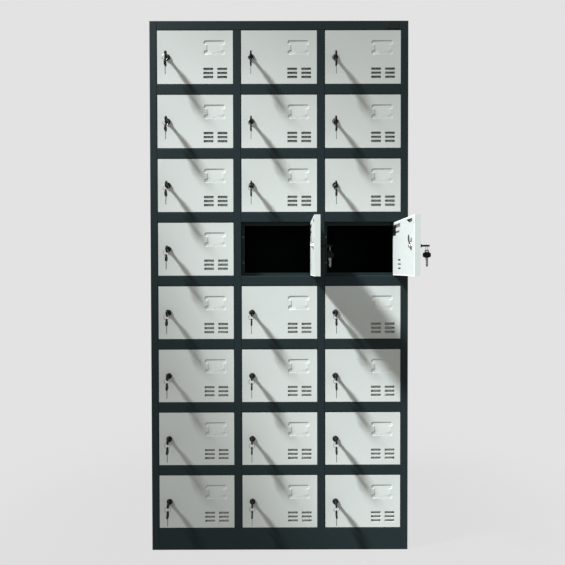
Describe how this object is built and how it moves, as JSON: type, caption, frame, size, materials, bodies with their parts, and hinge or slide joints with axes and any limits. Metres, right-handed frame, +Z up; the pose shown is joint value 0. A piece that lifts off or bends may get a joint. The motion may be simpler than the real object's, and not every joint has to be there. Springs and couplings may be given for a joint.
{
  "type": "locker",
  "caption": "Free-standing steel locker of small compartments, each with a hinged, louvred door and a key-operated cam lock.",
  "frame": {"origin": "middle of the carcass's footprint, on the floor", "axes": "+Z up, the doors face -Y, +X to the right seen from the front"},
  "size_m": [0.913, 0.6667, 1.85],
  "materials": {
    "carcass_paint": "satin powder coat, dark green-grey",
    "door_paint": "satin powder coat, light grey",
    "lock_metal": "plated lock parts and keys",
    "steel": "plain steel pins",
    "moulded_black": "black moulded key heads and small trim"
  },
  "bodies": {
    "carcass": {"left_side_panel": "carcass_paint", "right_side_panel": "carcass_paint", "top_panel": "carcass_paint", "base_panel": "carcass_paint", "back_panel": "carcass_paint", "front_posts": "carcass_paint", "front_rails": "carcass_paint", "stop_strips": "carcass_paint", "partitions": "carcass_paint", "shelves": "carcass_paint", "hinge_pins": "steel"},
    "door_r1c1": {"door_r1c1": "door_paint"},
    "lock_r1c1": {"lock_r1c1": "lock_metal"},
    "door_r1c2": {"door_r1c2": "door_paint"},
    "lock_r1c2": {"lock_r1c2": "lock_metal"},
    "door_r1c3": {"door_r1c3": "door_paint"},
    "lock_r1c3": {"lock_r1c3": "lock_metal"},
    "door_r2c1": {"door_r2c1": "door_paint"},
    "lock_r2c1": {"lock_r2c1": "lock_metal"},
    "door_r2c2": {"door_r2c2": "door_paint"},
    "lock_r2c2": {"lock_r2c2": "lock_metal"},
    "door_r2c3": {"door_r2c3": "door_paint"},
    "lock_r2c3": {"lock_r2c3": "lock_metal"},
    "door_r3c1": {"door_r3c1": "door_paint"},
    "lock_r3c1": {"lock_r3c1": "lock_metal"},
    "door_r3c2": {"door_r3c2": "door_paint"},
    "lock_r3c2": {"lock_r3c2": "lock_metal"},
    "door_r3c3": {"door_r3c3": "door_paint"},
    "lock_r3c3": {"lock_r3c3": "lock_metal"},
    "door_r4c1": {"door_r4c1": "door_paint"},
    "lock_r4c1": {"lock_r4c1": "lock_metal"},
    "door_r4c2": {"door_r4c2": "door_paint"},
    "lock_r4c2": {"lock_r4c2": "lock_metal"},
    "door_r4c3": {"door_r4c3": "door_paint"},
    "lock_r4c3": {"lock_r4c3": "lock_metal"},
    "door_r5c1": {"door_r5c1": "door_paint"},
    "lock_r5c1": {"lock_r5c1": "lock_metal"},
    "door_r5c2": {"door_r5c2": "door_paint"},
    "lock_r5c2": {"lock_r5c2": "lock_metal"},
    "door_r5c3": {"door_r5c3": "door_paint"},
    "lock_r5c3": {"lock_r5c3": "lock_metal"},
    "door_r6c1": {"door_r6c1": "door_paint"},
    "lock_r6c1": {"lock_r6c1": "lock_metal"},
    "door_r6c2": {"door_r6c2": "door_paint"},
    "lock_r6c2": {"lock_r6c2": "lock_metal"},
    "door_r6c3": {"door_r6c3": "door_paint"},
    "lock_r6c3": {"lock_r6c3": "lock_metal"},
    "door_r7c1": {"door_r7c1": "door_paint"},
    "lock_r7c1": {"lock_r7c1": "lock_metal"},
    "door_r7c2": {"door_r7c2": "door_paint"},
    "lock_r7c2": {"lock_r7c2": "lock_metal"},
    "door_r7c3": {"door_r7c3": "door_paint"},
    "lock_r7c3": {"lock_r7c3": "lock_metal"},
    "door_r8c1": {"door_r8c1": "door_paint"},
    "lock_r8c1": {"lock_r8c1": "lock_metal"},
    "door_r8c2": {"door_r8c2": "door_paint"},
    "lock_r8c2": {"lock_r8c2": "lock_metal"},
    "door_r8c3": {"door_r8c3": "door_paint"},
    "lock_r8c3": {"lock_r8c3": "lock_metal"}
  },
  "joints": [
    {"name": "hinge_r1c1", "type": "hinge", "parent": "carcass", "child": "door_r1c1", "pos_m": [-0.17033, -0.204, 1.725], "axis": [0, 0, 1], "range_deg": [0, 115]},
    {"name": "key_r1c1", "type": "hinge", "parent": "door_r1c1", "child": "lock_r1c1", "pos_m": [-0.388, -0.21, 1.725], "axis": [0, -1, 0], "range_deg": [0, 90]},
    {"name": "hinge_r1c2", "type": "hinge", "parent": "carcass", "child": "door_r1c2", "pos_m": [0.12133, -0.204, 1.725], "axis": [0, 0, 1], "range_deg": [0, 115]},
    {"name": "key_r1c2", "type": "hinge", "parent": "door_r1c2", "child": "lock_r1c2", "pos_m": [-0.09633, -0.21, 1.725], "axis": [0, -1, 0], "range_deg": [0, 90]},
    {"name": "hinge_r1c3", "type": "hinge", "parent": "carcass", "child": "door_r1c3", "pos_m": [0.413, -0.204, 1.725], "axis": [0, 0, 1], "range_deg": [0, 115]},
    {"name": "key_r1c3", "type": "hinge", "parent": "door_r1c3", "child": "lock_r1c3", "pos_m": [0.19533, -0.21, 1.725], "axis": [0, -1, 0], "range_deg": [0, 90]},
    {"name": "hinge_r2c1", "type": "hinge", "parent": "carcass", "child": "door_r2c1", "pos_m": [-0.17033, -0.204, 1.503], "axis": [0, 0, 1], "range_deg": [0, 115]},
    {"name": "key_r2c1", "type": "hinge", "parent": "door_r2c1", "child": "lock_r2c1", "pos_m": [-0.388, -0.21, 1.503], "axis": [0, -1, 0], "range_deg": [0, 90]},
    {"name": "hinge_r2c2", "type": "hinge", "parent": "carcass", "child": "door_r2c2", "pos_m": [0.12133, -0.204, 1.503], "axis": [0, 0, 1], "range_deg": [0, 115]},
    {"name": "key_r2c2", "type": "hinge", "parent": "door_r2c2", "child": "lock_r2c2", "pos_m": [-0.09633, -0.21, 1.503], "axis": [0, -1, 0], "range_deg": [0, 90]},
    {"name": "hinge_r2c3", "type": "hinge", "parent": "carcass", "child": "door_r2c3", "pos_m": [0.413, -0.204, 1.503], "axis": [0, 0, 1], "range_deg": [0, 115]},
    {"name": "key_r2c3", "type": "hinge", "parent": "door_r2c3", "child": "lock_r2c3", "pos_m": [0.19533, -0.21, 1.503], "axis": [0, -1, 0], "range_deg": [0, 90]},
    {"name": "hinge_r3c1", "type": "hinge", "parent": "carcass", "child": "door_r3c1", "pos_m": [-0.17033, -0.204, 1.281], "axis": [0, 0, 1], "range_deg": [0, 115]},
    {"name": "key_r3c1", "type": "hinge", "parent": "door_r3c1", "child": "lock_r3c1", "pos_m": [-0.388, -0.21, 1.281], "axis": [0, -1, 0], "range_deg": [0, 90]},
    {"name": "hinge_r3c2", "type": "hinge", "parent": "carcass", "child": "door_r3c2", "pos_m": [0.12133, -0.204, 1.281], "axis": [0, 0, 1], "range_deg": [0, 115]},
    {"name": "key_r3c2", "type": "hinge", "parent": "door_r3c2", "child": "lock_r3c2", "pos_m": [-0.09633, -0.21, 1.281], "axis": [0, -1, 0], "range_deg": [0, 90]},
    {"name": "hinge_r3c3", "type": "hinge", "parent": "carcass", "child": "door_r3c3", "pos_m": [0.413, -0.204, 1.281], "axis": [0, 0, 1], "range_deg": [0, 115]},
    {"name": "key_r3c3", "type": "hinge", "parent": "door_r3c3", "child": "lock_r3c3", "pos_m": [0.19533, -0.21, 1.281], "axis": [0, -1, 0], "range_deg": [0, 90]},
    {"name": "hinge_r4c1", "type": "hinge", "parent": "carcass", "child": "door_r4c1", "pos_m": [-0.17033, -0.204, 1.059], "axis": [0, 0, 1], "range_deg": [0, 115]},
    {"name": "key_r4c1", "type": "hinge", "parent": "door_r4c1", "child": "lock_r4c1", "pos_m": [-0.388, -0.21, 1.059], "axis": [0, -1, 0], "range_deg": [0, 90]},
    {"name": "hinge_r4c2", "type": "hinge", "parent": "carcass", "child": "door_r4c2", "pos_m": [0.12133, -0.204, 1.059], "axis": [0, 0, 1], "range_deg": [-88.5, 26.5]},
    {"name": "key_r4c2", "type": "hinge", "parent": "door_r4c2", "child": "lock_r4c2", "pos_m": [0.12163, -0.42175, 1.059], "axis": [0.9997, -0.0262, 0], "range_deg": [0, 90]},
    {"name": "hinge_r4c3", "type": "hinge", "parent": "carcass", "child": "door_r4c3", "pos_m": [0.413, -0.204, 1.059], "axis": [0, 0, 1], "range_deg": [-90, 25]},
    {"name": "key_r4c3", "type": "hinge", "parent": "door_r4c3", "child": "lock_r4c3", "pos_m": [0.419, -0.42167, 1.059], "axis": [1, 0, 0], "range_deg": [0, 90]},
    {"name": "hinge_r5c1", "type": "hinge", "parent": "carcass", "child": "door_r5c1", "pos_m": [-0.17033, -0.204, 0.837], "axis": [0, 0, 1], "range_deg": [0, 115]},
    {"name": "key_r5c1", "type": "hinge", "parent": "door_r5c1", "child": "lock_r5c1", "pos_m": [-0.388, -0.21, 0.837], "axis": [0, -1, 0], "range_deg": [0, 90]},
    {"name": "hinge_r5c2", "type": "hinge", "parent": "carcass", "child": "door_r5c2", "pos_m": [0.12133, -0.204, 0.837], "axis": [0, 0, 1], "range_deg": [0, 115]},
    {"name": "key_r5c2", "type": "hinge", "parent": "door_r5c2", "child": "lock_r5c2", "pos_m": [-0.09633, -0.21, 0.837], "axis": [0, -1, 0], "range_deg": [0, 90]},
    {"name": "hinge_r5c3", "type": "hinge", "parent": "carcass", "child": "door_r5c3", "pos_m": [0.413, -0.204, 0.837], "axis": [0, 0, 1], "range_deg": [0, 115]},
    {"name": "key_r5c3", "type": "hinge", "parent": "door_r5c3", "child": "lock_r5c3", "pos_m": [0.19533, -0.21, 0.837], "axis": [0, -1, 0], "range_deg": [0, 90]},
    {"name": "hinge_r6c1", "type": "hinge", "parent": "carcass", "child": "door_r6c1", "pos_m": [-0.17033, -0.204, 0.615], "axis": [0, 0, 1], "range_deg": [0, 115]},
    {"name": "key_r6c1", "type": "hinge", "parent": "door_r6c1", "child": "lock_r6c1", "pos_m": [-0.388, -0.21, 0.615], "axis": [0, -1, 0], "range_deg": [0, 90]},
    {"name": "hinge_r6c2", "type": "hinge", "parent": "carcass", "child": "door_r6c2", "pos_m": [0.12133, -0.204, 0.615], "axis": [0, 0, 1], "range_deg": [0, 115]},
    {"name": "key_r6c2", "type": "hinge", "parent": "door_r6c2", "child": "lock_r6c2", "pos_m": [-0.09633, -0.21, 0.615], "axis": [0, -1, 0], "range_deg": [0, 90]},
    {"name": "hinge_r6c3", "type": "hinge", "parent": "carcass", "child": "door_r6c3", "pos_m": [0.413, -0.204, 0.615], "axis": [0, 0, 1], "range_deg": [0, 115]},
    {"name": "key_r6c3", "type": "hinge", "parent": "door_r6c3", "child": "lock_r6c3", "pos_m": [0.19533, -0.21, 0.615], "axis": [0, -1, 0], "range_deg": [0, 90]},
    {"name": "hinge_r7c1", "type": "hinge", "parent": "carcass", "child": "door_r7c1", "pos_m": [-0.17033, -0.204, 0.393], "axis": [0, 0, 1], "range_deg": [0, 115]},
    {"name": "key_r7c1", "type": "hinge", "parent": "door_r7c1", "child": "lock_r7c1", "pos_m": [-0.388, -0.21, 0.393], "axis": [0, -1, 0], "range_deg": [0, 90]},
    {"name": "hinge_r7c2", "type": "hinge", "parent": "carcass", "child": "door_r7c2", "pos_m": [0.12133, -0.204, 0.393], "axis": [0, 0, 1], "range_deg": [0, 115]},
    {"name": "key_r7c2", "type": "hinge", "parent": "door_r7c2", "child": "lock_r7c2", "pos_m": [-0.09633, -0.21, 0.393], "axis": [0, -1, 0], "range_deg": [0, 90]},
    {"name": "hinge_r7c3", "type": "hinge", "parent": "carcass", "child": "door_r7c3", "pos_m": [0.413, -0.204, 0.393], "axis": [0, 0, 1], "range_deg": [0, 115]},
    {"name": "key_r7c3", "type": "hinge", "parent": "door_r7c3", "child": "lock_r7c3", "pos_m": [0.19533, -0.21, 0.393], "axis": [0, -1, 0], "range_deg": [0, 90]},
    {"name": "hinge_r8c1", "type": "hinge", "parent": "carcass", "child": "door_r8c1", "pos_m": [-0.17033, -0.204, 0.171], "axis": [0, 0, 1], "range_deg": [0, 115]},
    {"name": "key_r8c1", "type": "hinge", "parent": "door_r8c1", "child": "lock_r8c1", "pos_m": [-0.388, -0.21, 0.171], "axis": [0, -1, 0], "range_deg": [0, 90]},
    {"name": "hinge_r8c2", "type": "hinge", "parent": "carcass", "child": "door_r8c2", "pos_m": [0.12133, -0.204, 0.171], "axis": [0, 0, 1], "range_deg": [0, 115]},
    {"name": "key_r8c2", "type": "hinge", "parent": "door_r8c2", "child": "lock_r8c2", "pos_m": [-0.09633, -0.21, 0.171], "axis": [0, -1, 0], "range_deg": [0, 90]},
    {"name": "hinge_r8c3", "type": "hinge", "parent": "carcass", "child": "door_r8c3", "pos_m": [0.413, -0.204, 0.171], "axis": [0, 0, 1], "range_deg": [0, 115]},
    {"name": "key_r8c3", "type": "hinge", "parent": "door_r8c3", "child": "lock_r8c3", "pos_m": [0.19533, -0.21, 0.171], "axis": [0, -1, 0], "range_deg": [0, 90]}
  ]
}
